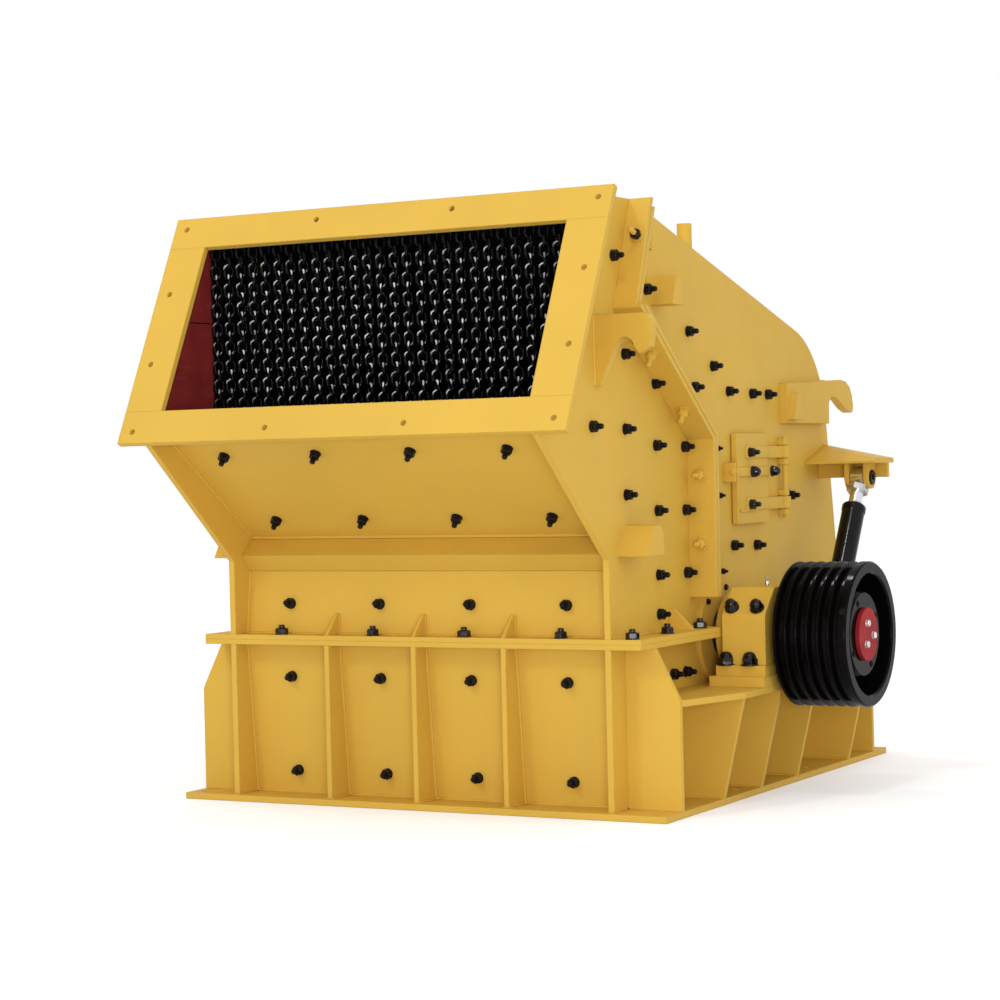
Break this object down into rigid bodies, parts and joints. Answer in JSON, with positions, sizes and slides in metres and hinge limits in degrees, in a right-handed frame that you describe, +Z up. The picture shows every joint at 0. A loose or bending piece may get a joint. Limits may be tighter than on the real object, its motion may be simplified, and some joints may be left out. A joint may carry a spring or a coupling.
{
  "type": "impact crusher",
  "caption": "Horizontal-shaft impact crusher with a tilted feed frame and chain curtain, ribbed lower housing, belt pulley on the rotor and a rear housing that opens on cylinders",
  "frame": {"origin": "centre of the anchor bolt pattern, on the underside of the base flange", "axes": "+X along the rotor towards the pulley, +Y to the rear, away from the feed, +Z up"},
  "size_m": [3.276, 3.6501, 2.8205],
  "materials": {
    "yellow_paint": "semi-gloss yellow paint",
    "liner_paint": "matt dark red primer",
    "dark_steel": "dark oiled steel",
    "chain_steel": "blackened chain steel",
    "blow_bar_iron": "bare cast chrome iron",
    "pulley_paint": "gloss black paint",
    "cap_paint": "red paint",
    "rod_chrome": "hard chrome",
    "barrel_paint": "gloss black paint"
  },
  "bodies": {
    "frame": {"base_flange": "yellow_paint", "lower_end_walls": "yellow_paint", "lower_side_walls": "yellow_paint", "end_ribs": "yellow_paint", "side_ribs": "yellow_paint", "bearing_shelves": "yellow_paint", "lower_joint_flange": "yellow_paint", "front_joint_flange": "yellow_paint", "front_side_plates": "yellow_paint", "front_wall": "yellow_paint", "feed_floor": "yellow_paint", "feed_roof": "yellow_paint", "feed_frame_bars": "yellow_paint", "feed_frame_posts": "yellow_paint", "feed_liners": "liner_paint", "chain_rail": "dark_steel", "chain_curtain": "chain_steel", "front_split_flanges": "yellow_paint", "front_lifting_lugs": "yellow_paint", "lower_seals": "yellow_paint", "bearing_pedestals": "yellow_paint", "bearing_blocks": "yellow_paint", "cylinder_feet": "yellow_paint", "hinge_lugs": "yellow_paint"},
    "rotor": {"rotor_shaft": "dark_steel", "rotor_discs": "dark_steel", "blow_bars": "blow_bar_iron", "drive_pulley": "pulley_paint", "shaft_cap": "cap_paint"},
    "rear_housing": {"rear_side_plates": "yellow_paint", "rear_roof": "yellow_paint", "rear_wall": "yellow_paint", "rear_joint_flange": "yellow_paint", "rear_split_flanges": "yellow_paint", "rear_lifting_lugs": "yellow_paint", "vent_stub": "yellow_paint", "upper_seals": "yellow_paint", "cylinder_brackets": "yellow_paint", "door_hinges": "yellow_paint"},
    "door_right": {"inspection_door_right": "yellow_paint"},
    "door_left": {"inspection_door_left": "yellow_paint"},
    "rod_right": {"cylinder_rod_right": "rod_chrome"},
    "rod_left": {"cylinder_rod_left": "rod_chrome"},
    "barrel_right": {"cylinder_barrel_right": "barrel_paint"},
    "barrel_left": {"cylinder_barrel_left": "barrel_paint"}
  },
  "joints": [
    {"name": "rotor_spin", "type": "hinge", "parent": "frame", "child": "rotor", "pos_m": [0, -0.2, 0.76], "axis": [1, 0, 0], "continuous": true},
    {"name": "rear_housing_open", "type": "hinge", "parent": "frame", "child": "rear_housing", "pos_m": [0, 1.56, 0.784], "axis": [-1, 0, 0], "range_deg": [0, 40]},
    {"name": "door_right_open", "type": "hinge", "parent": "rear_housing", "child": "door_right", "pos_m": [1.063, 0.635, 1.505], "axis": [0, 0, 1], "range_deg": [0, 110]},
    {"name": "cylinder_right_swing", "type": "hinge", "parent": "rear_housing", "child": "rod_right", "pos_m": [1.297, 1.1, 1.49], "axis": [-1, 0, 0], "range_deg": [-23.5, 0]},
    {"name": "cylinder_right_extend", "type": "slide", "parent": "rod_right", "child": "barrel_right", "axis": [0, -0.5253, -0.8509], "range_m": [0, 0.48]},
    {"name": "door_left_open", "type": "hinge", "parent": "rear_housing", "child": "door_left", "pos_m": [-1.063, 0.635, 1.505], "axis": [0, 0, -1], "range_deg": [0, 110]},
    {"name": "cylinder_left_swing", "type": "hinge", "parent": "rear_housing", "child": "rod_left", "pos_m": [-1.297, 1.1, 1.49], "axis": [-1, 0, 0], "range_deg": [-23.5, 0]},
    {"name": "cylinder_left_extend", "type": "slide", "parent": "rod_left", "child": "barrel_left", "axis": [0, -0.5253, -0.8509], "range_m": [0, 0.48]}
  ],
  "couplings": [
    {"joint": "cylinder_right_swing", "follows": "rear_housing_open", "ratio": -0.58501},
    {"joint": "cylinder_right_extend", "follows": "rear_housing_open", "m_per_rad": 0.68552},
    {"joint": "cylinder_left_swing", "follows": "rear_housing_open", "ratio": -0.58501},
    {"joint": "cylinder_left_extend", "follows": "rear_housing_open", "m_per_rad": 0.68552}
  ]
}
